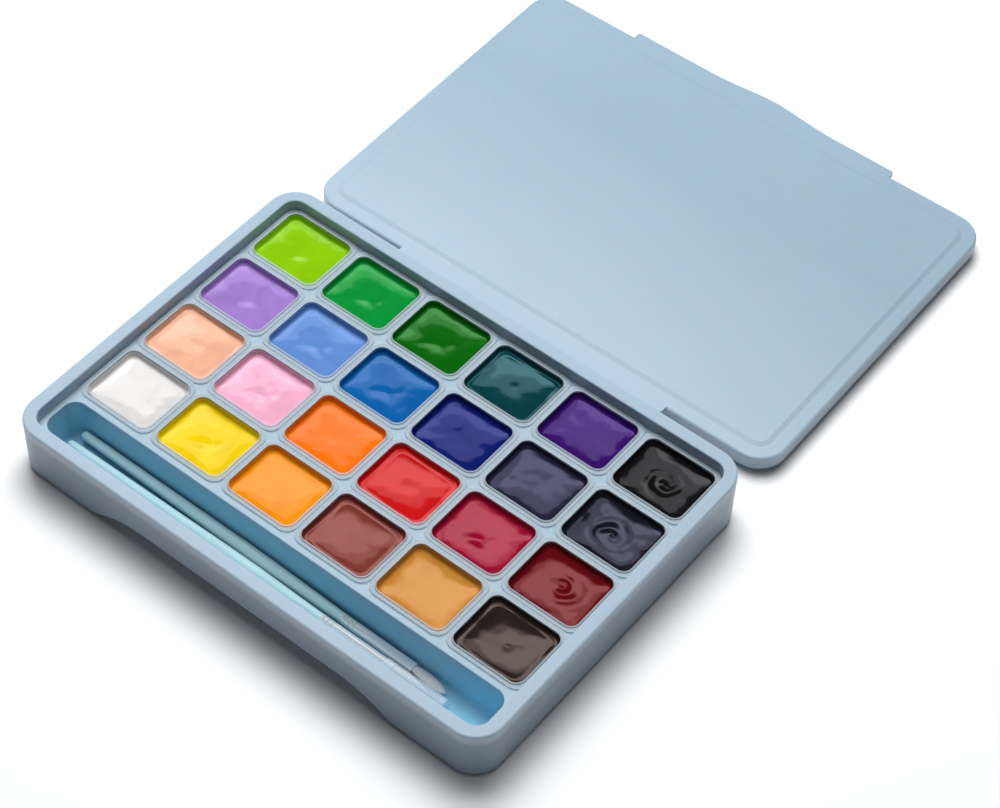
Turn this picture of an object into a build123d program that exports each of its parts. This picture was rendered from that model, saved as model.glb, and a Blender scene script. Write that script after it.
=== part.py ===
"""Gouache paint set: a two-part case with twenty-four cups of paint, two brushes and a lift-off lid.

Millimetres, +Z up. The origin is the centre of the case's underside. X runs along the case's long
side and +Y points from the brush trough to the lid, which lies on the same surface behind the case.
"""

import math
import os

from build123d import *

# ---- Case, outside ----
case_height = 31.0
case_corner_radius = 15.0
case_wall = 2.0
case_floor = 1.4
case_wall_draft = 0.5
case_bottom_edge_radius = 3.5
rim_width = 6.9
rim_thickness = 2.0
rim_outer_edge_radius = 1.2
rim_inner_edge_radius = 0.7
recess_radius = 7.0

# ---- Reliefs in the lower edge of the case's walls ----
front_relief_depth = 6.8
relief_depth = 5.4
side_relief_height = 12.4
side_relief_top_length = 112.0
side_relief_foot_length = 212.0
end_relief_height = 2.6
end_relief_top_length = 92.0
end_relief_foot_length = 148.0

# ---- Cups ----
cup_columns = 6
cup_rows = 4
cup_flange_length = 42.7
cup_flange_width = 37.35
cup_flange_radius = 6.0
cup_flange_thickness = 0.9
cup_gap = 0.3
cup_mouth_length = 37.6
cup_mouth_width = 32.2
cup_mouth_radius = 4.5
cup_lip_height = 0.4
cup_wall = 0.8
cup_depth = 21.4
cup_draft = 3.5
cup_bottom_chamfer = 1.5
cup_lift_gap = 0.35
paint_fill_gap = 3.3

# ---- Tray ----
deck_depth = 7.0
tray_wall = 1.2
tray_wall_clearance = 0.3
pocket_clearance = 0.35
locating_rib_height = 4.0
locating_rib_thickness = 1.5
locating_rib_clearance = 0.15
recess_side_clearance = 0.75
trough_width = 21.3
trough_ledge = 3.5
trough_end_ledge = 2.6
trough_land = 3.3
trough_radius = 6.5
trough_draft = 3.0
trough_edge_radius = 0.5
trough_floor_edge_radius = 1.5

# ---- Lid ----
lid_band_height = 7.2
lid_plug_depth = 3.7
lid_plug_clearance = 0.5
lid_wall = 2.0
lid_plug_wall = 1.8
lid_top_edge_radius = 1.5
lid_border_width = 7.4
lid_panel_rise = 0.7
lid_panel_slope_width = 2.4
lip_length = 158.0
lip_reach = 3.6
lip_thickness = 2.2
lip_corner_radius = 1.5
thumb_tab_length = 76.0
thumb_tab_reach = 2.9
thumb_tab_offset = 5.0
lid_gap_behind_case = 16.2
lid_offset_x = -2.4
lid_yaw = 0.7

# ---- Brushes ----
brush_gap = 0.5
brush_seat_gap = 0.2
handle_belly_diameter = 6.4
handle_butt_diameter = 4.4
handle_neck_diameter = 5.0
handle_belly_x = 108.0
handle_belly_length = 14.0
ferrule_diameter = 5.2
ferrule_wall = 0.45
ferrule_crimp_depth = 0.25
ferrule_crimp_width = 1.0
ferrule_crimp_pitch = 2.4
ferrule_crimps = 3
ferrule_crimp_setback = 1.8
ferrule_grip = 9.0
round_butt_clearance = 4.0
round_handle_length = 153.0
round_ferrule_length = 41.0
round_tuft_length = 21.0
round_tuft_belly_diameter = 4.9
round_tuft_belly_x = 7.0
round_tuft_shoulder_x = 15.0
round_tuft_shoulder_diameter = 3.2
flat_butt_clearance = 6.0
flat_brush_pitch = 0.5
flat_brush_yaw = 0.3
flat_handle_length = 158.5
flat_ferrule_length = 40.0
flat_ferrule_round_length = 14.0
flat_tuft_length = 18.5
flat_tuft_root_width = 3.9
flat_tuft_width = 5.6
flat_tuft_thickness = 2.4
flat_tuft_belly_x = 8.3
flat_head_thickness = 2.6
flat_tip_width = 2.4
flat_tip_thickness = 0.8
sleeve_length = 33.0
sleeve_wall = 0.4
sleeve_clearance = 0.15
sleeve_overlap = 4.0

# ---- Sizes that follow from the ones above ----
cup_pitch_x = cup_flange_length + cup_gap
cup_pitch_y = cup_flange_width + cup_gap
cup_block_length = cup_columns * cup_pitch_x - cup_gap
cup_block_width = cup_rows * cup_pitch_y - cup_gap

recess_length = cup_block_length + 2 * recess_side_clearance
recess_width = trough_ledge + trough_width + trough_land + cup_block_width + tray_wall_clearance
case_length = recess_length + 2 * rim_width
case_width = recess_width + 2 * rim_width
wall_top = case_height - rim_thickness
deck_top = case_height - deck_depth
deck_bottom = deck_top - tray_wall
flange_top = deck_top + cup_flange_thickness
cup_block_centre_y = recess_width / 2 - tray_wall_clearance - cup_block_width / 2
cup_bottom = flange_top - cup_depth
cup_outer_length = cup_mouth_length + 2 * cup_wall
cup_outer_width = cup_mouth_width + 2 * cup_wall
cup_outer_radius = cup_mouth_radius + cup_wall
paint_top = flange_top - paint_fill_gap

pocket_length = cup_outer_length + 2 * pocket_clearance
pocket_width = cup_outer_width + 2 * pocket_clearance
pocket_radius = cup_outer_radius + pocket_clearance
pocket_floor = cup_bottom - cup_lift_gap

trough_length = recess_length - 2 * trough_end_ledge
trough_centre_y = trough_ledge + trough_width / 2 - recess_width / 2
trough_floor = case_floor + tray_wall
trough_taper = math.tan(math.radians(trough_draft))
trough_foot_inset = (deck_top - trough_floor) * trough_taper

lid_height = lid_band_height + lid_plug_depth
lid_plug_length = recess_length - 2 * lid_plug_clearance
lid_plug_width = recess_width - 2 * lid_plug_clearance
lid_plug_radius = recess_radius - lid_plug_clearance
lid_centre_y = case_width + lid_gap_behind_case

belly_radius = handle_belly_diameter / 2
bore_radius = ferrule_diameter / 2 - ferrule_wall
brush_axis_z = trough_floor + brush_seat_gap + belly_radius
trough_foot_y = trough_centre_y + trough_width / 2 - trough_foot_inset
trough_foot_x = trough_foot_inset - trough_length / 2
flat_brush_y = trough_foot_y - brush_seat_gap - belly_radius
round_brush_y = flat_brush_y - handle_belly_diameter - brush_gap


def save(piece, name):
    """Label one finished piece and write it as its own STEP file."""
    piece.label = name
    export_step(piece, f"parts/{name}.step")


os.makedirs("parts", exist_ok=True)

# ---- Case tub: floor and outer walls, drawn in at the foot where fingers go under them ----


def relief_outline(top_length, foot_length, height):
    """The outline of a relief: a level top that runs down to the floor in an S at each end."""
    half_top = top_length / 2
    half_foot = foot_length / 2
    middle = (half_top + half_foot) / 2
    with BuildSketch(Plane.XY) as outline:
        with BuildLine():
            Line((-half_top, height), (half_top, height))
            Bezier((half_top, height), (middle, height), (middle, 0), (half_foot, 0))
            Line((half_foot, 0), (-half_foot, 0))
            Bezier((-half_foot, 0), (-middle, 0), (-middle, height), (-half_top, height))
        make_face()
    return outline.sketch


side_relief = (side_relief_top_length, side_relief_foot_length, side_relief_height)
end_relief = (end_relief_top_length, end_relief_foot_length, end_relief_height)
reliefs = (
    (Plane((0, -case_width / 2, 0), x_dir=(1, 0, 0), z_dir=(0, -1, 0)), side_relief, front_relief_depth),
    (Plane((0, case_width / 2, 0), x_dir=(-1, 0, 0), z_dir=(0, 1, 0)), side_relief, relief_depth),
    (Plane((case_length / 2, 0, 0), x_dir=(0, 1, 0), z_dir=(1, 0, 0)), end_relief, relief_depth),
    (Plane((-case_length / 2, 0, 0), x_dir=(0, -1, 0), z_dir=(-1, 0, 0)), end_relief, relief_depth),
)

with BuildPart() as tub_hollow:
    with BuildSketch(Plane.XY.offset(wall_top)):
        RectangleRounded(
            case_length - 2 * case_wall,
            case_width - 2 * case_wall,
            case_corner_radius - case_wall,
        )
    extrude(amount=-(wall_top - case_floor), taper=case_wall_draft)
    for wall_plane, (top_length, foot_length, height), depth in reliefs:
        with BuildSketch(wall_plane):
            add(relief_outline(top_length + 2 * case_wall, foot_length + 2 * case_wall, height + case_wall))
        extrude(amount=-(depth + case_wall), mode=Mode.SUBTRACT)

with BuildPart() as case_tub:
    with BuildSketch(Plane.XY.offset(wall_top)):
        RectangleRounded(case_length, case_width, case_corner_radius)
    extrude(amount=-wall_top, taper=case_wall_draft)
    fillet(case_tub.edges().group_by(Axis.Z)[0], radius=case_bottom_edge_radius)
    for wall_plane, (top_length, foot_length, height), depth in reliefs:
        with BuildSketch(wall_plane):
            add(relief_outline(top_length, foot_length, height))
        extrude(amount=-depth, mode=Mode.SUBTRACT)
    add(tub_hollow.part, mode=Mode.SUBTRACT)
save(case_tub.part, "case_tub")

# ---- Cup tray: rim, recess, deck, cup pockets and brush trough in one moulding ----
with BuildPart() as trough_hollow:
    with BuildSketch(Plane.XY.offset(deck_top)):
        with Locations((0, trough_centre_y)):
            RectangleRounded(trough_length, trough_width, trough_radius)
    extrude(amount=-(deck_top - trough_floor), taper=trough_draft)
    fillet(trough_hollow.edges().group_by(Axis.Z)[0], radius=trough_floor_edge_radius)

with BuildPart() as cup_tray:
    with BuildSketch(Plane.XY.offset(wall_top)):
        RectangleRounded(case_length, case_width, case_corner_radius)
    extrude(amount=rim_thickness)
    fillet(cup_tray.edges().group_by(Axis.Z)[-1], radius=rim_outer_edge_radius)
    with BuildSketch(Plane.XY.offset(wall_top)):
        RectangleRounded(
            case_length - 2 * (case_wall + locating_rib_clearance),
            case_width - 2 * (case_wall + locating_rib_clearance),
            case_corner_radius - case_wall - locating_rib_clearance,
        )
        offset(amount=-locating_rib_thickness, mode=Mode.SUBTRACT)
    extrude(amount=-locating_rib_height, taper=case_wall_draft)
    with BuildSketch(Plane.XY.offset(deck_bottom)):
        RectangleRounded(
            recess_length + 2 * tray_wall,
            recess_width + 2 * tray_wall,
            recess_radius + tray_wall,
        )
    extrude(amount=case_height - rim_outer_edge_radius - deck_bottom)
    with BuildSketch(Plane.XY.offset(deck_top)):
        with Locations((0, cup_block_centre_y)):
            with GridLocations(cup_pitch_x, cup_pitch_y, cup_columns, cup_rows):
                RectangleRounded(
                    pocket_length + 2 * tray_wall,
                    pocket_width + 2 * tray_wall,
                    pocket_radius + tray_wall,
                )
    extrude(amount=-(deck_top - pocket_floor + tray_wall), taper=cup_draft)
    with BuildSketch(Plane.XY.offset(deck_top)):
        with Locations((0, trough_centre_y)):
            RectangleRounded(
                trough_length + 2 * tray_wall,
                trough_width + 2 * tray_wall,
                trough_radius + tray_wall,
            )
    extrude(amount=-(deck_top - case_floor), taper=trough_draft)
    with BuildSketch(Plane.XY.offset(deck_top)):
        RectangleRounded(recess_length, recess_width, recess_radius)
    extrude(amount=deck_depth, mode=Mode.SUBTRACT)
    fillet(
        cup_tray.edges().group_by(Axis.Z)[-1].filter_by(
            lambda edge: abs(edge.center().X) < recess_length / 2 + rim_inner_edge_radius
            and abs(edge.center().Y) < recess_width / 2 + rim_inner_edge_radius
        ),
        radius=rim_inner_edge_radius,
    )
    with BuildSketch(Plane.XY.offset(deck_top)):
        with Locations((0, cup_block_centre_y)):
            with GridLocations(cup_pitch_x, cup_pitch_y, cup_columns, cup_rows):
                RectangleRounded(pocket_length, pocket_width, pocket_radius)
    extrude(amount=-(deck_top - pocket_floor), taper=cup_draft, mode=Mode.SUBTRACT)
    add(trough_hollow.part, mode=Mode.SUBTRACT)
    fillet(
        cup_tray.edges().filter_by(
            lambda edge: abs(edge.center().Z - deck_top) < trough_edge_radius / 2
            and abs(edge.center().Y - trough_centre_y) < trough_width / 2 + trough_edge_radius
        ),
        radius=trough_edge_radius,
    )
save(cup_tray.part, "cup_tray")

# ---- Cups and their paint ----
with BuildPart() as cup_hollow:
    with BuildSketch(Plane.XY.offset(flange_top)):
        RectangleRounded(cup_mouth_length, cup_mouth_width, cup_mouth_radius)
    extrude(amount=-(cup_depth - cup_wall), taper=cup_draft)
    chamfer(cup_hollow.edges().group_by(Axis.Z)[0], length=cup_bottom_chamfer)

with BuildPart() as cup:
    with BuildSketch(Plane.XY.offset(flange_top)):
        RectangleRounded(cup_outer_length, cup_outer_width, cup_outer_radius)
    extrude(amount=-cup_depth, taper=cup_draft)
    chamfer(cup.edges().group_by(Axis.Z)[0], length=cup_bottom_chamfer)
    with BuildSketch(Plane.XY.offset(deck_top)):
        RectangleRounded(cup_flange_length, cup_flange_width, cup_flange_radius)
    extrude(amount=cup_flange_thickness)
    with BuildSketch(Plane.XY.offset(flange_top)):
        RectangleRounded(cup_outer_length, cup_outer_width, cup_outer_radius)
    extrude(amount=cup_lip_height)
    with BuildSketch(Plane.XY.offset(flange_top)):
        RectangleRounded(cup_mouth_length, cup_mouth_width, cup_mouth_radius)
    extrude(amount=cup_lip_height, mode=Mode.SUBTRACT)
    add(cup_hollow.part, mode=Mode.SUBTRACT)

with BuildPart() as paint:
    add(cup_hollow.part)
    split(bisect_by=Plane.XY.offset(paint_top), keep=Keep.BOTTOM)

for row in range(cup_rows):
    for column in range(cup_columns):
        place = Location(
            (
                (column - (cup_columns - 1) / 2) * cup_pitch_x,
                cup_block_centre_y + (row - (cup_rows - 1) / 2) * cup_pitch_y,
                0,
            )
        )
        save(cup.part.moved(place), f"cup_{row + 1}_{column + 1}")
        save(paint.part.moved(place), f"paint_{row + 1}_{column + 1}")

# ---- Lid: raised panel and lips on top, outer skirt and deeper plug rib below ----
lid_plane = Plane((lid_offset_x, lid_centre_y, 0)).rotated((0, 0, lid_yaw))

with BuildPart() as lid:
    with BuildSketch(lid_plane.offset(lid_plug_depth)):
        RectangleRounded(case_length, case_width, case_corner_radius)
    extrude(amount=lid_band_height)
    fillet(lid.edges().group_by(Axis.Z)[-1], radius=lid_top_edge_radius)
    with BuildSketch(lid_plane.offset(lid_height)):
        with BuildLine():
            half_lip = lip_length / 2
            seat_y = case_width / 2 - lid_top_edge_radius
            lip_y = case_width / 2 + lip_reach
            tab_start = thumb_tab_offset - thumb_tab_length / 2
            tab_end = thumb_tab_offset + thumb_tab_length / 2
            Polyline(
                (tab_start, lip_y),
                (-half_lip, lip_y),
                (-half_lip, seat_y),
                (half_lip, seat_y),
                (half_lip, lip_y),
                (tab_end, lip_y),
            )
            Spline(
                (tab_end, lip_y),
                (thumb_tab_offset, lip_y + thumb_tab_reach),
                (tab_start, lip_y),
                tangents=((-1, 0), (-1, 0)),
            )
        make_face()
        with Locations((0, -(seat_y + lip_y) / 2)):
            Rectangle(lip_length, lip_y - seat_y)
    extrude(amount=-lip_thickness)
    fillet(
        lid.edges()
        .filter_by(Axis.Z)
        .filter_by(lambda edge: abs(edge.length - lip_thickness) < lip_thickness / 10),
        radius=lip_corner_radius,
    )
    with BuildSketch(lid_plane.offset(lid_height)):
        RectangleRounded(
            case_length - 2 * lid_border_width,
            case_width - 2 * lid_border_width,
            case_corner_radius - lid_border_width,
        )
    with BuildSketch(lid_plane.offset(lid_height + lid_panel_rise)):
        RectangleRounded(
            case_length - 2 * (lid_border_width + lid_panel_slope_width),
            case_width - 2 * (lid_border_width + lid_panel_slope_width),
            case_corner_radius - lid_border_width - lid_panel_slope_width,
        )
    loft()
    with BuildSketch(lid_plane):
        RectangleRounded(lid_plug_length, lid_plug_width, lid_plug_radius)
    extrude(amount=lid_plug_depth)
    with BuildSketch(lid_plane.offset(lid_height - lid_wall)):
        RectangleRounded(
            case_length - 2 * lid_wall,
            case_width - 2 * lid_wall,
            case_corner_radius - lid_wall,
        )
        RectangleRounded(lid_plug_length, lid_plug_width, lid_plug_radius, mode=Mode.SUBTRACT)
    extrude(amount=-(lid_band_height - lid_wall), mode=Mode.SUBTRACT)
    with BuildSketch(lid_plane):
        RectangleRounded(
            lid_plug_length - 2 * lid_plug_wall,
            lid_plug_width - 2 * lid_plug_wall,
            lid_plug_radius - lid_plug_wall,
        )
    extrude(amount=lid_height + lid_panel_rise - lid_wall, mode=Mode.SUBTRACT)
save(lid.part, "lid")

# ---- Brushes: turned handles, crimped ferrules and tufts, lying side by side in the trough ----


def handle_solid(plane, length):
    """A turned handle from its rounded butt, over the belly, to the tenon inside the ferrule."""
    butt_radius = handle_butt_diameter / 2
    with BuildPart() as handle:
        with BuildSketch(plane):
            with BuildLine():
                CenterArc((butt_radius, 0), butt_radius, 90, 90)
                Polyline(
                    (butt_radius, butt_radius),
                    (handle_belly_x - handle_belly_length / 2, belly_radius),
                    (handle_belly_x + handle_belly_length / 2, belly_radius),
                    (length, handle_neck_diameter / 2),
                    (length, bore_radius),
                    (length + ferrule_grip, bore_radius),
                    (length + ferrule_grip, 0),
                    (0, 0),
                )
            make_face()
        revolve(axis=Axis(plane.origin, plane.x_dir))
    return handle.part


def ferrule_tube(plane, start, length):
    """A round ferrule with its crimps pressed in beside the handle."""
    outer_radius = ferrule_diameter / 2
    with BuildPart() as tube:
        with BuildSketch(plane):
            with Locations((start + length / 2, (bore_radius + outer_radius) / 2)):
                Rectangle(length, ferrule_wall)
            for crimp in range(ferrule_crimps):
                crimp_x = start + ferrule_crimp_setback + crimp * ferrule_crimp_pitch
                with BuildLine():
                    Polyline(
                        (crimp_x - ferrule_crimp_width / 2, outer_radius),
                        (crimp_x, outer_radius - ferrule_crimp_depth),
                        (crimp_x + ferrule_crimp_width / 2, outer_radius),
                        close=True,
                    )
                make_face(mode=Mode.SUBTRACT)
        revolve(axis=Axis(plane.origin, plane.x_dir))
    return tube.part


def across(plane, distance):
    """The plane square to a brush's axis, at a distance from its butt, with X level."""
    return Plane(plane.from_local_coords((distance, 0, 0)), x_dir=-plane.z_dir, z_dir=plane.x_dir)


# The round brush, with the clear sleeve that guards its tuft
round_plane = Plane(
    (trough_foot_x + round_butt_clearance, round_brush_y, brush_axis_z),
    x_dir=(1, 0, 0),
    z_dir=(0, -1, 0),
)
round_head = round_handle_length + round_ferrule_length
save(handle_solid(round_plane, round_handle_length), "round_brush_handle")
save(ferrule_tube(round_plane, round_handle_length, round_ferrule_length), "round_brush_ferrule")

with BuildPart() as round_tuft:
    with BuildSketch(round_plane):
        with BuildLine():
            Polyline(
                (round_handle_length + ferrule_grip, 0),
                (round_handle_length + ferrule_grip, bore_radius),
                (round_head, bore_radius),
                (round_head + round_tuft_belly_x, round_tuft_belly_diameter / 2),
                (round_head + round_tuft_shoulder_x, round_tuft_shoulder_diameter / 2),
                (round_head + round_tuft_length, 0),
                (round_handle_length + ferrule_grip, 0),
            )
        make_face()
    revolve(axis=Axis(round_plane.origin, round_plane.x_dir))
save(round_tuft.part, "round_brush_tuft")

sleeve_bore_radius = ferrule_diameter / 2 + sleeve_clearance
with BuildPart() as sleeve:
    with BuildSketch(across(round_plane, round_head - sleeve_overlap)):
        Circle(sleeve_bore_radius + sleeve_wall)
        Circle(sleeve_bore_radius, mode=Mode.SUBTRACT)
    extrude(amount=sleeve_length)
save(sleeve.part, "round_brush_sleeve")

# The flat brush, whose ferrule is pressed from round to oval
flat_slope_y = math.tan(math.radians(flat_brush_yaw))
flat_slope_z = math.tan(math.radians(flat_brush_pitch))
flat_plane = Plane(
    (
        trough_foot_x + flat_butt_clearance,
        flat_brush_y + handle_belly_x * flat_slope_y,
        brush_axis_z + handle_belly_x * flat_slope_z,
    ),
    x_dir=(1, -flat_slope_y, -flat_slope_z),
    z_dir=(-flat_slope_y, -1, 0),
)
flat_head = flat_handle_length + flat_ferrule_length
flat_round_end = flat_handle_length + flat_ferrule_round_length
save(handle_solid(flat_plane, flat_handle_length), "flat_brush_handle")

flat_top_plane = Plane(flat_plane.origin, x_dir=flat_plane.x_dir, z_dir=flat_plane.y_dir)


def pressed_length(radius, end_thickness):
    """A round bar over the front of the flat ferrule, pressed thinner towards the tuft."""
    with BuildPart() as pressed:
        with BuildSketch(across(flat_plane, flat_round_end)):
            Circle(radius)
        extrude(amount=flat_head - flat_round_end)
        with BuildSketch(flat_plane):
            with BuildLine():
                Polyline(
                    (flat_round_end, radius),
                    (flat_head, end_thickness / 2),
                    (flat_head, -end_thickness / 2),
                    (flat_round_end, -radius),
                    close=True,
                )
            make_face()
        extrude(amount=radius, both=True, mode=Mode.INTERSECT)
    return pressed.part


def tuft_outline(root, belly, tip):
    """The flat tuft seen square to one of its sides: its breadth at the root, the belly and the tip."""
    with BuildSketch(Plane.XY) as outline:
        with BuildLine():
            Polyline(
                (flat_head, root / 2),
                (flat_head + flat_tuft_belly_x, belly / 2),
                (flat_head + flat_tuft_length, tip / 2),
                (flat_head + flat_tuft_length, -tip / 2),
                (flat_head + flat_tuft_belly_x, -belly / 2),
                (flat_head, -root / 2),
                close=True,
            )
        make_face()
    return outline.sketch


flat_bore_thickness = flat_head_thickness - 2 * ferrule_wall
flat_bore = pressed_length(bore_radius, flat_bore_thickness)

with BuildPart() as flat_ferrule:
    add(pressed_length(ferrule_diameter / 2, flat_head_thickness))
    add(flat_bore, mode=Mode.SUBTRACT)
    add(ferrule_tube(flat_plane, flat_handle_length, flat_ferrule_round_length))
save(flat_ferrule.part, "flat_brush_ferrule")

with BuildPart() as flat_tuft:
    with BuildSketch(flat_plane):
        add(tuft_outline(flat_bore_thickness, flat_tuft_thickness, flat_tip_thickness))
    extrude(amount=flat_tuft_width, both=True)
    with BuildSketch(flat_top_plane):
        add(tuft_outline(flat_tuft_root_width, flat_tuft_width, flat_tip_width))
    extrude(amount=flat_tuft_width, both=True, mode=Mode.INTERSECT)
    add(flat_bore)
    with BuildSketch(across(flat_plane, flat_handle_length + ferrule_grip)):
        Circle(bore_radius)
    extrude(amount=flat_ferrule_round_length - ferrule_grip)
save(flat_tuft.part, "flat_brush_tuft")
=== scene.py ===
"""The looks of the gouache paint set box: plastics, brushes, wet paint, floor, light and camera."""

import math

import bpy
from mathutils import Matrix, Vector, noise


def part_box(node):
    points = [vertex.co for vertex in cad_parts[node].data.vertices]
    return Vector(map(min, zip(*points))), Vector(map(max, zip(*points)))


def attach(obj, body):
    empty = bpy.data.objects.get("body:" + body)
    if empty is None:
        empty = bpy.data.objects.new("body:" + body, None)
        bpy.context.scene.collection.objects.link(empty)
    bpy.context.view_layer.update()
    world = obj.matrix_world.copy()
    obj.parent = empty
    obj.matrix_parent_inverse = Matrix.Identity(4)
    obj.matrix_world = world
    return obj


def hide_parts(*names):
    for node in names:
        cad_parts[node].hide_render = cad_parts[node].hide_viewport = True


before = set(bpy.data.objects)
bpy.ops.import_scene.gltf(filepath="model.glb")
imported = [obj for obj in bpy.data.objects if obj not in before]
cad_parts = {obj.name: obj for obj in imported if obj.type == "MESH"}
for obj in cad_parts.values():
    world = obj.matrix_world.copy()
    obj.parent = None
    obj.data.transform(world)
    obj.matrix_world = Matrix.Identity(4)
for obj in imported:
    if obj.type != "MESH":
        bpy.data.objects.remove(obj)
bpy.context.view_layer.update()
scene = bpy.context.scene
MM = 0.001

# ---- Camera: metres and radians, held level to the picture by its small roll ----
CAMERA_AZIMUTH = 0.637677
CAMERA_ELEVATION = 0.886677
CAMERA_ROLL = 0.047467
CAMERA_DISTANCE = 1.25894
CAMERA_TARGET = Vector((0.02445, 0.05657, 0.0249))
FOCAL_LENGTH_PIXELS = 2755.99
PICTURE_WIDTH_PIXELS = 1000
SENSOR_WIDTH = 36.0
CLIP_END = 20.0


def add_camera():
    back = Vector((
        math.sin(CAMERA_AZIMUTH) * math.cos(CAMERA_ELEVATION),
        -math.cos(CAMERA_AZIMUTH) * math.cos(CAMERA_ELEVATION),
        math.sin(CAMERA_ELEVATION),
    ))
    level = Vector((math.cos(CAMERA_AZIMUTH), math.sin(CAMERA_AZIMUTH), 0.0))
    rise = back.cross(level)
    right = math.cos(CAMERA_ROLL) * level + math.sin(CAMERA_ROLL) * rise
    up = math.cos(CAMERA_ROLL) * rise - math.sin(CAMERA_ROLL) * level
    data = bpy.data.cameras.new("camera")
    data.sensor_fit = "HORIZONTAL"
    data.sensor_width = SENSOR_WIDTH
    data.lens = FOCAL_LENGTH_PIXELS / PICTURE_WIDTH_PIXELS * SENSOR_WIDTH
    data.clip_end = CLIP_END
    camera = bpy.data.objects.new("camera", data)
    turn = Matrix((right, up, back)).transposed().to_4x4()
    camera.matrix_world = Matrix.Translation(CAMERA_TARGET + back * CAMERA_DISTANCE) @ turn
    scene.collection.objects.link(camera)
    scene.camera = camera


add_camera()


# ---- Node helpers: scales are per metre of the piece, bump distances in metres ----
def new_material(name, color, roughness, **sockets):
    """A Principled material with its constant sockets set; returns it with its tree and its shader."""
    made = bpy.data.materials.new(name)
    made.use_nodes = True
    tree = made.node_tree
    shader = tree.nodes["Principled BSDF"]
    shader.inputs["Base Color"].default_value = (*color, 1.0)
    shader.inputs["Roughness"].default_value = roughness
    for key, value in sockets.items():
        shader.inputs[key.replace("_", " ")].default_value = value
    return made, tree, shader


def coords(tree, scale=(1.0, 1.0, 1.0), shift=(0.0, 0.0, 0.0)):
    """The place on the piece itself, stretched and shifted."""
    source = tree.nodes.new("ShaderNodeTexCoord")
    mapping = tree.nodes.new("ShaderNodeMapping")
    mapping.inputs["Scale"].default_value = scale
    mapping.inputs["Location"].default_value = shift
    tree.links.new(source.outputs["Object"], mapping.inputs["Vector"])
    return mapping.outputs["Vector"]


def noise_tex(tree, vector, scale, detail=3.0, distortion=0.0):
    node = tree.nodes.new("ShaderNodeTexNoise")
    node.inputs["Scale"].default_value = scale
    node.inputs["Detail"].default_value = detail
    node.inputs["Distortion"].default_value = distortion
    tree.links.new(vector, node.inputs["Vector"])
    return node.outputs["Fac"]


def ramp(tree, value, stops):
    """A colour for each share from 0 to 1, blended between the stops."""
    node = tree.nodes.new("ShaderNodeValToRGB")
    while len(node.color_ramp.elements) < len(stops):
        node.color_ramp.elements.new(0.5)
    for element, (place, color) in zip(node.color_ramp.elements, stops):
        element.position = place
        element.color = (*color, 1.0)
    tree.links.new(value, node.inputs["Fac"])
    return node.outputs["Color"]


def remap(tree, value, low, high):
    """A share from 0 to 1 spread between two values."""
    node = tree.nodes.new("ShaderNodeMapRange")
    node.inputs["To Min"].default_value = low
    node.inputs["To Max"].default_value = high
    tree.links.new(value, node.inputs["Value"])
    return node.outputs["Result"]


def place_share(tree, vector, axis, start, end):
    """How far a point lies between two places along one axis of its piece, from 0 to 1."""
    parts = tree.nodes.new("ShaderNodeSeparateXYZ")
    share = tree.nodes.new("ShaderNodeMapRange")
    share.inputs["From Min"].default_value = start
    share.inputs["From Max"].default_value = end
    tree.links.new(vector, parts.inputs["Vector"])
    tree.links.new(parts.outputs[axis], share.inputs["Value"])
    return share.outputs["Result"]


def blend(tree, first, second, share, mode="MIX"):
    """Two colours blended by a share; each of the three is a value or a socket."""
    mix = tree.nodes.new("ShaderNodeMix")
    mix.data_type = "RGBA"
    mix.blend_type = mode
    for name, value in (("A", first), ("B", second), ("Factor", share)):
        socket = next(i for i in mix.inputs if i.name == name and i.enabled)
        if isinstance(value, bpy.types.NodeSocket):
            tree.links.new(value, socket)
        elif name == "Factor":
            socket.default_value = value
        else:
            socket.default_value = (*value, 1.0)
    return next(o for o in mix.outputs if o.enabled)


def bump(tree, shader, height, strength, distance):
    node = tree.nodes.new("ShaderNodeBump")
    node.inputs["Strength"].default_value = strength
    node.inputs["Distance"].default_value = distance
    tree.links.new(height, node.inputs["Height"])
    tree.links.new(node.outputs["Normal"], shader.inputs["Normal"])


def shade(color, factor):
    return tuple(max(0.0, min(1.0, c * factor)) for c in color)


def paint_node(node, material):
    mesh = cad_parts[node].data
    mesh.materials.clear()
    mesh.materials.append(material)


# ---- The case and lid: tinted plastic, which lets a little light through ----
# The upper faces blend across the y span from a paler front colour, which is painted light, to the far
# colour; the low colour, at the foot of the z span and below it, is painted shade, darker and deeper blue
# on walls and in hollows. The spans are metres on the piece.
TRAY_FAR = (0.33, 0.43, 0.52)
TRAY_PAINTED_LIGHT_Y_SPAN = (-0.09, 0.09)
CASE_LOOKS = {
    "case_tub": {
        "name": "case_blue",
        "painted_light_front": (0.42, 0.51, 0.60),
        "far": TRAY_FAR,
        "low": (0.215, 0.285, 0.365),
        "painted_light_y_span": TRAY_PAINTED_LIGHT_Y_SPAN,
        "painted_shade_z_span": (0.024, 0.0295),
    },
    "cup_tray": {
        "name": "tray_blue",
        "painted_light_front": (0.38, 0.48, 0.58),
        "far": TRAY_FAR,
        "low": (0.29, 0.58, 0.76),
        "painted_light_y_span": TRAY_PAINTED_LIGHT_Y_SPAN,
        "painted_shade_z_span": (0.019, 0.0245),
    },
    "lid": {
        "name": "lid_blue",
        "painted_light_front": (0.37, 0.47, 0.56),
        "far": (0.28, 0.38, 0.46),
        "low": (0.28, 0.36, 0.44),
        "painted_light_y_span": (0.12, 0.24),
        "painted_shade_z_span": (0.004, 0.010),
    },
}
LIGHT_REACH_BY_COLOR = (0.15, 0.6, 1.0)
DRIFT_LOW = (0.965, 0.965, 0.965)
DRIFT_HIGH = (1.0, 1.0, 1.0)


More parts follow.
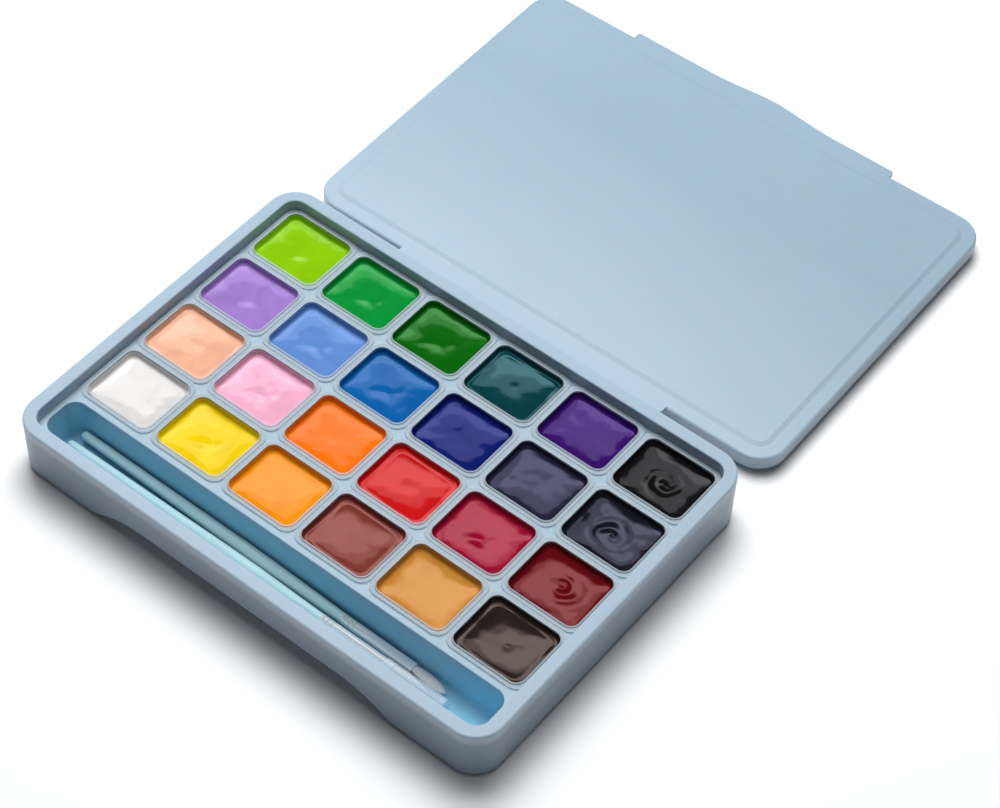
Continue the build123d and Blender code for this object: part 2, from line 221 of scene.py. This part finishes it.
def case_plastic(name, painted_light_front, far, low, painted_light_y_span, painted_shade_z_span):
    """Tinted plastic: paler towards the front of its upper faces as painted light, and a darker, deeper
    blue low down as painted shade.
    """
    material, tree, shader = new_material(
        name, painted_light_front, roughness=0.36, Specular_IOR_Level=0.7, Subsurface_Weight=0.3, Subsurface_Scale=0.006
    )
    shader.inputs["Subsurface Radius"].default_value = LIGHT_REACH_BY_COLOR
    place = coords(tree)
    # Painted light: the upper faces grow paler towards the front. Painted shade: a darker, deeper blue low
    # down.
    top = blend(tree, painted_light_front, far, place_share(tree, place, "Y", *painted_light_y_span))
    body = blend(tree, low, top, place_share(tree, place, "Z", *painted_shade_z_span))
    clouds = noise_tex(tree, place, scale=9.0, detail=4.0)
    drift = ramp(tree, clouds, ((0.3, DRIFT_LOW), (0.7, DRIFT_HIGH)))
    tree.links.new(blend(tree, body, drift, 1.0, "MULTIPLY"), shader.inputs["Base Color"])
    gloss = remap(tree, noise_tex(tree, place, scale=60.0, detail=4.0), low=0.30, high=0.42)
    tree.links.new(gloss, shader.inputs["Roughness"])
    bump(tree, shader, noise_tex(tree, place, scale=900.0, detail=2.0), strength=0.06, distance=0.0002)
    return material


for node, look in CASE_LOOKS.items():
    paint_node(node, case_plastic(**look))


# ---- The cups and the sleeve: clear plastic ----
CUP_TINT = (0.62, 0.72, 0.79)
SLEEVE_TINT = (0.72, 0.82, 0.90)


def clear_plastic(name, color, roughness, alpha):
    """Thin clear plastic, its gloss a little uneven."""
    material, tree, shader = new_material(
        name, color, roughness, IOR=1.46, Alpha=alpha, Specular_IOR_Level=0.6
    )
    place = coords(tree)
    handling = noise_tex(tree, place, scale=80.0, detail=2.0)
    gloss = remap(tree, handling, low=roughness * 0.7, high=roughness * 1.4)
    tree.links.new(gloss, shader.inputs["Roughness"])
    bump(tree, shader, noise_tex(tree, place, scale=60.0, detail=2.0), strength=0.02, distance=0.0004)
    return material


cup_plastic = clear_plastic("cup_clear", CUP_TINT, roughness=0.16, alpha=0.36)
sleeve_plastic = clear_plastic("sleeve_clear", SLEEVE_TINT, roughness=0.10, alpha=0.26)
paint_node("round_brush_sleeve", sleeve_plastic)


# ---- The brushes ----
HANDLE_AQUA = (0.42, 0.62, 0.65)
BRISTLE_WHITE = (0.64, 0.66, 0.66)
# The plain tone is what a viewer that leaves out the streaks shows
METAL_PLAIN = (0.84, 0.87, 0.90)
METAL_DARK = (0.86, 0.89, 0.91)
METAL_LIGHT = (0.95, 0.97, 0.98)
# These draw a pattern out along the brush, as streaks and as fine strands
STREAKED = (1.0, 8.0, 8.0)
STRANDED = (1.0, 40.0, 40.0)


def lacquer(name, color):
    """A lacquered handle: its tone drifts in long streaks under a clear coat."""
    material, tree, shader = new_material(name, color, roughness=0.3, Coat_Weight=0.4, Coat_Roughness=0.15)
    place = coords(tree, STREAKED)
    streaks = noise_tex(tree, place, scale=60.0, detail=4.0)
    stops = ((0.3, shade(color, 0.94)), (0.7, shade(color, 1.03)))
    tree.links.new(ramp(tree, streaks, stops), shader.inputs["Base Color"])
    bump(tree, shader, noise_tex(tree, place, scale=300.0, detail=3.0), strength=0.08, distance=0.0002)
    return material


def drawn_metal(name):
    """Bright metal, drawn along the brush."""
    material, tree, shader = new_material(name, METAL_PLAIN, roughness=0.2, Metallic=0.6)
    streaks = noise_tex(tree, coords(tree, STREAKED), scale=60.0, detail=2.0)
    stops = ((0.3, METAL_DARK), (0.7, METAL_LIGHT))
    tree.links.new(ramp(tree, streaks, stops), shader.inputs["Base Color"])
    tree.links.new(remap(tree, streaks, low=0.16, high=0.24), shader.inputs["Roughness"])
    bump(tree, shader, streaks, strength=0.03, distance=0.0001)
    return material


def hair(name, color):
    """Fine strands along the brush."""
    material, tree, shader = new_material(name, color, roughness=0.55, Sheen_Weight=0.3)
    strands = noise_tex(tree, coords(tree, STRANDED), scale=120.0, detail=4.0)
    stops = ((0.3, shade(color, 0.72)), (0.65, color))
    tree.links.new(ramp(tree, strands, stops), shader.inputs["Base Color"])
    bump(tree, shader, strands, strength=0.5, distance=0.0003)
    return material


aqua = lacquer("handle_aqua", HANDLE_AQUA)
metal = drawn_metal("ferrule_metal")
bristle = hair("bristle", BRISTLE_WHITE)
for kind in ("round", "flat"):
    paint_node(f"{kind}_brush_handle", aqua)
    paint_node(f"{kind}_brush_ferrule", metal)
    paint_node(f"{kind}_brush_tuft", bristle)


# ---- The flat brush's tuft: a soft filbert, its tip laid a little towards the sleeve ----
# Each station, in millimetres: how far it lies past the ferrule, half its width, half its height
TUFT_STATIONS = (
    (-3.0, 1.90, 0.92),
    (0.0, 1.95, 0.98),
    (2.0, 2.20, 1.10),
    (4.5, 2.50, 1.18),
    (7.5, 2.72, 1.20),
    (10.5, 2.66, 1.12),
    (13.0, 2.38, 0.96),
    (15.0, 1.98, 0.78),
    (16.6, 1.46, 0.58),
    (17.7, 0.86, 0.38),
    (18.3, 0.34, 0.20),
)
TUFT_SIDES = 28
# Where the tuft leaves the ferrule, how the brush's line drifts on from there, and the tip's bend
TUFT_HEAD = (78.62, -69.544, 5.21)
TUFT_SLOPE_Y = -0.00524
TUFT_SLOPE_Z = -0.00873
TUFT_BEND = -1.1
# Shallow ridges round the tuft, full from this far past the ferrule
RIDGES = 7
RIDGE_SHARE = 0.02
RIDGES_FULL_AT = 6.0


def ring_faces(first, second, count):
    """The faces between two rings of points, given by the number of each ring's first point."""
    return [
        (first + i, first + (i + 1) % count, second + (i + 1) % count, second + i) for i in range(count)
    ]


def smooth_piece(name, points, faces, flat_faces, material):
    """A new piece in the scene, smooth but for its last few faces."""
    mesh = bpy.data.meshes.new(name)
    mesh.from_pydata(points, [], faces)
    mesh.update()
    for polygon in mesh.polygons[:-flat_faces]:
        polygon.use_smooth = True
    mesh.materials.append(material)
    piece = bpy.data.objects.new(name, mesh)
    scene.collection.objects.link(piece)
    return piece


def tuft_ring(along, half_width, half_height):
    """The points round the tuft at one station, in metres."""
    bend = TUFT_BEND * max(0.0, along / TUFT_STATIONS[-1][0]) ** 2
    centre_y = TUFT_HEAD[1] + TUFT_SLOPE_Y * along + bend
    centre_z = TUFT_HEAD[2] + TUFT_SLOPE_Z * along
    ridge = RIDGE_SHARE * min(1.0, max(0.0, along / RIDGES_FULL_AT))
    points = []
    for side in range(TUFT_SIDES):
        angle = 2 * math.pi * side / TUFT_SIDES
        swell = 1.0 + ridge * math.sin(RIDGES * angle)
        points.append((
            (TUFT_HEAD[0] + along) * MM,
            (centre_y + half_width * swell * math.cos(angle)) * MM,
            (centre_z + half_height * swell * math.sin(angle)) * MM,
        ))
    return points


def add_tuft():
    """Puts the filbert in place of the CAD tuft."""
    points = [point for station in TUFT_STATIONS for point in tuft_ring(*station)]
    last = len(points) - TUFT_SIDES
    faces = []
    for start in range(0, last, TUFT_SIDES):
        faces += ring_faces(start, start + TUFT_SIDES, TUFT_SIDES)
    faces.append(tuple(range(TUFT_SIDES - 1, -1, -1)))
    faces.append(tuple(range(last, last + TUFT_SIDES)))
    piece = smooth_piece("flat_tuft", points, faces, flat_faces=2, material=bristle)
    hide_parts("flat_brush_tuft")
    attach(piece, "flat_brush")


add_tuft()


# ---- Gouache ----
# By cup, row from the trough and column from the left: the paint, its colour and how it was stirred
PAINTS = {
    "1_1": ("white", (232, 230, 228), "calm"),
    "1_2": ("yellow", (247, 213, 0), "hook"),
    "1_3": ("amber", (249, 150, 0), "calm"),
    "1_4": ("red_brown", (124, 54, 46), "nub"),
    "1_5": ("ochre", (206, 138, 50), "calm"),
    "1_6": ("umber", (38, 28, 24), "nub"),
    "2_1": ("peach", (249, 188, 156), "nub"),
    "2_2": ("pink", (249, 180, 208), "hook"),
    "2_3": ("orange", (251, 118, 0), "calm"),
    "2_4": ("red", (205, 12, 16), "nub"),
    "2_5": ("magenta", (152, 0, 46), "hook"),
    "2_6": ("dark_red", (98, 0, 8), "spiral"),
    "3_1": ("lavender", (165, 128, 208), "flick"),
    "3_2": ("periwinkle", (98, 142, 211), "hook"),
    "3_3": ("blue", (0, 94, 166), "hook"),
    "3_4": ("ultramarine", (3, 22, 104), "calm"),
    "3_5": ("navy", (30, 30, 54), "calm"),
    "3_6": ("blue_black", (14, 15, 25), "spiral"),
    "4_1": ("lime", (142, 202, 0), "flick"),
    "4_2": ("green", (0, 145, 54), "hook"),
    "4_3": ("dark_green", (0, 97, 4), "hook"),
    "4_4": ("teal", (0, 55, 62), "nub"),
    "4_5": ("violet", (52, 8, 102), "calm"),
    "4_6": ("black", (9, 9, 10), "spiral"),
}
# The light shows a level surface this many times as bright as its own colour
LIGHT_GAIN = 1.3
BRIGHTNESS_WEIGHTS = (0.3, 0.6, 0.1)
PALE_FROM = 0.4
UNTINTED_SHARE = 0.25


def linear(color):
    """A colour as it shows on a screen, from 0 to 255, in linear light."""
    return tuple(c / 255 / 12.92 if c <= 10 else ((c / 255 + 0.055) / 1.055) ** 2.4 for c in color)


def gouache(name, color, seed):
    """Wet gouache, in drifts. Its gloss takes the paint's tint; pale greyish tones have the most film."""
    strongest = max(color)
    grey = min(color) / strongest
    brightness = sum(weight * c for weight, c in zip(BRIGHTNESS_WEIGHTS, color))
    light = min(1.0, brightness / PALE_FROM)
    film = light * grey
    material, tree, shader = new_material(
        name,
        color,
        roughness=0.09,
        Coat_Weight=0.3 + 0.7 * film,
        Coat_IOR=1.5 + 0.35 * film,
        Coat_Roughness=0.03,
        Specular_IOR_Level=min(1.0, 0.3 + 0.55 * (1.0 - grey) + 0.6 * light),
    )
    tint = tuple(UNTINTED_SHARE + (1.0 - UNTINTED_SHARE) * c / strongest for c in color)
    shader.inputs["Specular Tint"].default_value = (*tint, 1.0)
    place = coords(tree, shift=(seed * 0.37, seed * 0.21, 0.0))
    drifts = noise_tex(tree, place, scale=55.0, detail=5.0, distortion=1.2)
    stops = ((0.30, shade(color, 0.90)), (0.52, color), (0.72, shade(color, 1.06)))
    tree.links.new(ramp(tree, drifts, stops), shader.inputs["Base Color"])
    wetness = noise_tex(tree, place, scale=130.0, detail=4.0, distortion=0.8)
    tree.links.new(remap(tree, wetness, low=0.06, high=0.14), shader.inputs["Roughness"])
    grain = noise_tex(tree, place, scale=160.0, detail=3.0, distortion=0.6)
    bump(tree, shader, grain, strength=0.04, distance=0.0004)
    return material


# ---- The stirred surface of the paint, in millimetres from the middle of the cup ----
# Each style gives its height at a place; they take the cup's seed alike, though not all need it.
CUP_STRETCH = 1.12
SWELL_HEIGHT = 0.20
SWELL_PER_MM = 0.055
UNEVEN_HEIGHT = 0.035
UNEVEN_PER_MM = 0.2
BOWL_PER_MM2 = 0.0004


def mound(along, across, height, half_length, half_width):
    """A soft mound on two axes through its top."""
    return height * math.exp(-((along / half_length) ** 2) - (across / half_width) ** 2)


def calm(x, y, seed):
    """Nothing stirred."""
    return 0.0


def spiral(x, y, seed):
    """A spiral ridge that strays from its course, round a nub."""
    start = seed * 1.7
    angle = math.atan2(y, x)
    distance = math.hypot(x / CUP_STRETCH, y)
    stray = 1.3 * noise.noise(Vector((x * 0.16, y * 0.16 + seed, 4.0)))
    band = mound(distance - 4.6, 0.0, height=0.17, half_length=4.4, half_width=1.0)
    swing = band * (0.75 + 0.5 * math.sin(angle + start))
    centre = mound(distance, 0.0, height=0.2, half_length=1.6, half_width=1.6)
    return swing * math.sin(angle - distance * 0.78 + start + stray) + centre


def hook(x, y, seed):
    """A curved stroke and the small heap where the knife left it."""
    curve = 0.05 * x * x
    stroke = mound(x + 1.2, y + 3.0 + curve, height=0.34, half_length=4.4, half_width=2.7)
    heap = mound(x - 4.5, y - 1.0, height=0.12, half_length=1.8, half_width=2.4)
    return stroke + heap


def nub(x, y, seed):
    """A low dome with a dent beside its top, in a slight bowl."""
    distance = math.hypot(x / CUP_STRETCH, y)
    bowl = 0.0016 * (x * x + y * y)
    dome = mound(distance, 0.0, height=0.15, half_length=3.4, half_width=3.4)
    dent = mound(x - 1.0, y + 0.6, height=0.03, half_length=0.9, half_width=0.6)
    return bowl + dome - dent


def flick(x, y, seed):
    """One short oblique stroke."""
    slant = 0.6
    low = y + 2.0
    along = x * math.cos(slant) + low * math.sin(slant)
    across = low * math.cos(slant) - x * math.sin(slant)
    return mound(along, across, height=0.32, half_length=3.8, half_width=2.5)


STYLES = {"calm": calm, "spiral": spiral, "hook": hook, "nub": nub, "flick": flick}


def relief(x, y, style, seed):
    """The height of the stirred surface over its mean level; the seed sets the cups apart."""
    swell_place = Vector((x * SWELL_PER_MM + seed * 3.7, y * SWELL_PER_MM, seed))
    uneven_place = Vector((x * UNEVEN_PER_MM, y * UNEVEN_PER_MM + seed * 2.1, seed))
    swell = SWELL_HEIGHT * noise.noise(swell_place) + UNEVEN_HEIGHT * noise.noise(uneven_place)
    bowl = BOWL_PER_MM2 * (x * x + y * y)
    return swell + bowl + STYLES[style](x, y, seed)


# ---- The fill of one cup, in millimetres ----
# The fill stands this far clear of the cup's wall, which leans out by its moulding draft
WALL_GAP = 0.03816
WALL_SLOPE = math.tan(math.radians(3.5))
CORNER_RADIUS = 4.27
# The surface lies this far under the top of the CAD fill, and its relief fades this near the wall
SINK = 0.3
CALM_EDGE = 2.5
# A thin film of paint climbs the wall, and the surface curves up to it
FILM_HEIGHT = 2.2
FILM_VARIES = 0.5
FILM_PER_MM = 0.16
FILM_REACH = 0.24
MENISCUS_HEIGHT = 0.75
MENISCUS_REACH = 2.1
REACH_VARIES = 0.9
REACH_PER_MM = 0.11
# How far from the wall the outer rings of points lie; the rest share the way to the middle
EDGE_STEPS = (0.0, 0.05, 0.11, 0.18, 0.27, 0.38, 0.52, 0.7, 0.95, 1.3, 1.75, 2.3)
INNER_RINGS = 26
CORNER_STEPS = 9
SIDE_STEPS = 15


def rounded_outline(half_x, half_y, radius):
    """Points round a rounded rectangle, anticlockwise, evenly spaced along each corner and each side."""
    points = []
    corners = (
        (half_x - radius, half_y - radius, 0.0),
        (radius - half_x, half_y - radius, 90.0),
        (radius - half_x, radius - half_y, 180.0),
        (half_x - radius, radius - half_y, 270.0),
    )
    for index, (centre_x, centre_y, start) in enumerate(corners):
        for step in range(CORNER_STEPS):
            angle = math.radians(start + 90.0 * step / (CORNER_STEPS - 1))
            points.append((centre_x + radius * math.cos(angle), centre_y + radius * math.sin(angle)))
        x0, y0 = points[-1]
        next_x, next_y, next_start = corners[(index + 1) % len(corners)]
        angle = math.radians(next_start)
        x1, y1 = next_x + radius * math.cos(angle), next_y + radius * math.sin(angle)
        for step in range(1, SIDE_STEPS):
            share = step / SIDE_STEPS
            points.append((x0 + (x1 - x0) * share, y0 + (y1 - y0) * share))
    return points


def climb(rim_x, rim_y, edge, seed):
    """How high the paint has climbed at a distance from the wall, by one point of the rim."""
    film_place = Vector((rim_x * FILM_PER_MM, rim_y * FILM_PER_MM, seed * 5.3))
    reach_place = Vector((rim_x * REACH_PER_MM, rim_y * REACH_PER_MM, seed * 2.9))
    film = FILM_HEIGHT + FILM_VARIES * noise.noise(film_place)
    reach = MENISCUS_REACH + REACH_VARIES * noise.noise(reach_place)
    return film * math.exp(-edge / FILM_REACH) + MENISCUS_HEIGHT * math.exp(-edge / reach)


def fill_points(low, high, style, seed):
    """The points of one cup's fill, in metres: ring by ring inwards, then its middle and its foot."""
    centre_x, centre_y = (low[0] + high[0]) / 2, (low[1] + high[1]) / 2
    top = high[2]
    half_x = (high[0] - low[0]) / 2 / MM - WALL_GAP
    half_y = (high[1] - low[1]) / 2 / MM - WALL_GAP
    outline = rounded_outline(half_x, half_y, CORNER_RADIUS)
    shares = [1.0 - step / half_y for step in EDGE_STEPS]
    shares += [shares[-1] * (1.0 - ring / INNER_RINGS) for ring in range(1, INNER_RINGS)]
    points = []
    for share in shares:
        edge = (1.0 - share) * half_y
        fade = min(1.0, edge / CALM_EDGE)
        for rim_x, rim_y in outline:
            x, y = rim_x * share, rim_y * share
            z = relief(x, y, style, seed) * fade + climb(rim_x, rim_y, edge, seed) - SINK
            spread = (1.0 + WALL_SLOPE * max(0.0, z) / half_y) * MM
            points.append((centre_x + x * spread, centre_y + y * spread, top + z * MM))
    points.append((centre_x, centre_y, top + (relief(0, 0, style, seed) - SINK) * MM))
    taper = (1.0 - WALL_SLOPE * (top - low[2]) / MM / half_x) * MM
    points += [(centre_x + x * taper, centre_y + y * taper, low[2]) for x, y in outline]
    return points


def fill_faces():
    """The faces of a fill: its rings, a fan round its middle, its wall and its flat underside."""
    count = 4 * (CORNER_STEPS + SIDE_STEPS - 1)
    middle = (len(EDGE_STEPS) + INNER_RINGS - 1) * count
    inmost = middle - count
    foot = middle + 1
    faces = []
    for start in range(0, inmost, count):
        faces += ring_faces(start, start + count, count)
    faces += [(inmost + i, inmost + (i + 1) % count, middle) for i in range(count)]
    faces += [(i, foot + i, foot + (i + 1) % count, (i + 1) % count) for i in range(count)]
    faces.append(tuple(range(foot + count - 1, foot - 1, -1)))
    return faces


def fill_cup(key, name, color, style, seed):
    """Puts one cup's paint in place of its CAD fill."""
    points = fill_points(*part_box(f"paint_{key}"), style, seed)
    paint = gouache(f"gouache_{name}", shade(linear(color), 1 / LIGHT_GAIN), seed)
    piece = smooth_piece(f"gouache_{key}", points, fill_faces(), flat_faces=1, material=paint)
    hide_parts(f"paint_{key}")
    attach(piece, f"cup_body_{key}")


for seed, (key, (name, color, style)) in enumerate(PAINTS.items(), start=1):
    paint_node(f"cup_{key}", cup_plastic)
    fill_cup(key, name, color, style, seed)


# ---- Floor and light, in metres and watts ----
FLOOR_HALF = 6.0
FLOOR_DROP = 0.00005
FLOOR_LOW = (0.86, 0.87, 0.88)
FLOOR_HIGH = (0.88, 0.885, 0.89)
SET_MIDDLE = (0.0, 0.08, 0.0)
ROOM_COLOR = (0.95, 0.97, 1.0, 1.0)
ROOM_STRENGTH = 0.09


def add_floor():
    mesh = bpy.data.meshes.new("floor")
    corners = [(x * FLOOR_HALF, y * FLOOR_HALF, 0.0) for x, y in ((-1, -1), (1, -1), (1, 1), (-1, 1))]
    mesh.from_pydata(corners, [], [(0, 1, 2, 3)])
    floor = bpy.data.objects.new("floor", mesh)
    floor.location.z = -FLOOR_DROP
    material, tree, shader = new_material("floor", FLOOR_LOW, roughness=0.6)
    stops = ((0.3, FLOOR_LOW), (0.7, FLOOR_HIGH))
    clouds = noise_tex(tree, coords(tree), scale=3.0)
    tree.links.new(ramp(tree, clouds, stops), shader.inputs["Base Color"])
    mesh.materials.append(material)
    scene.collection.objects.link(floor)


def add_light(name, place, size, power, mirrored, target=None):
    """A soft box. Without a target it faces straight down, square to the camera's view."""
    data = bpy.data.lights.new(name, "AREA")
    data.shape = "RECTANGLE"
    data.size, data.size_y = size
    data.energy = power
    light = bpy.data.objects.new(name, data)
    light.location = place
    if target:
        light.rotation_euler = (Vector(target) - Vector(place)).to_track_quat("-Z", "Y").to_euler()
    else:
        light.rotation_euler = (0.0, 0.0, CAMERA_AZIMUTH)
    light.visible_glossy = mirrored
    scene.collection.objects.link(light)


def add_room():
    """The dim room round the set."""
    world = bpy.data.worlds.new("studio")
    world.use_nodes = True
    background = world.node_tree.nodes["Background"]
    background.inputs["Color"].default_value = ROOM_COLOR
    background.inputs["Strength"].default_value = ROOM_STRENGTH
    scene.world = world


add_floor()
add_light("key", (-0.38, 0.50, 1.25), (1.0, 1.0), power=25.5, mirrored=False, target=SET_MIDDLE)
add_light("overhead", (0.0, 0.25, 1.70), (1.2, 1.2), power=7.0, mirrored=False, target=SET_MIDDLE)
# Only these two show in the wet paint, as its pale patches
add_light("soft_box", (-0.568, 0.655, 1.25), (0.80, 0.440), power=1.15, mirrored=True)
add_light("soft_box_core", (-0.515, 0.625, 1.24), (0.46, 0.24), power=0.36, mirrored=True)
add_room()
scene.view_settings.view_transform = "Standard"
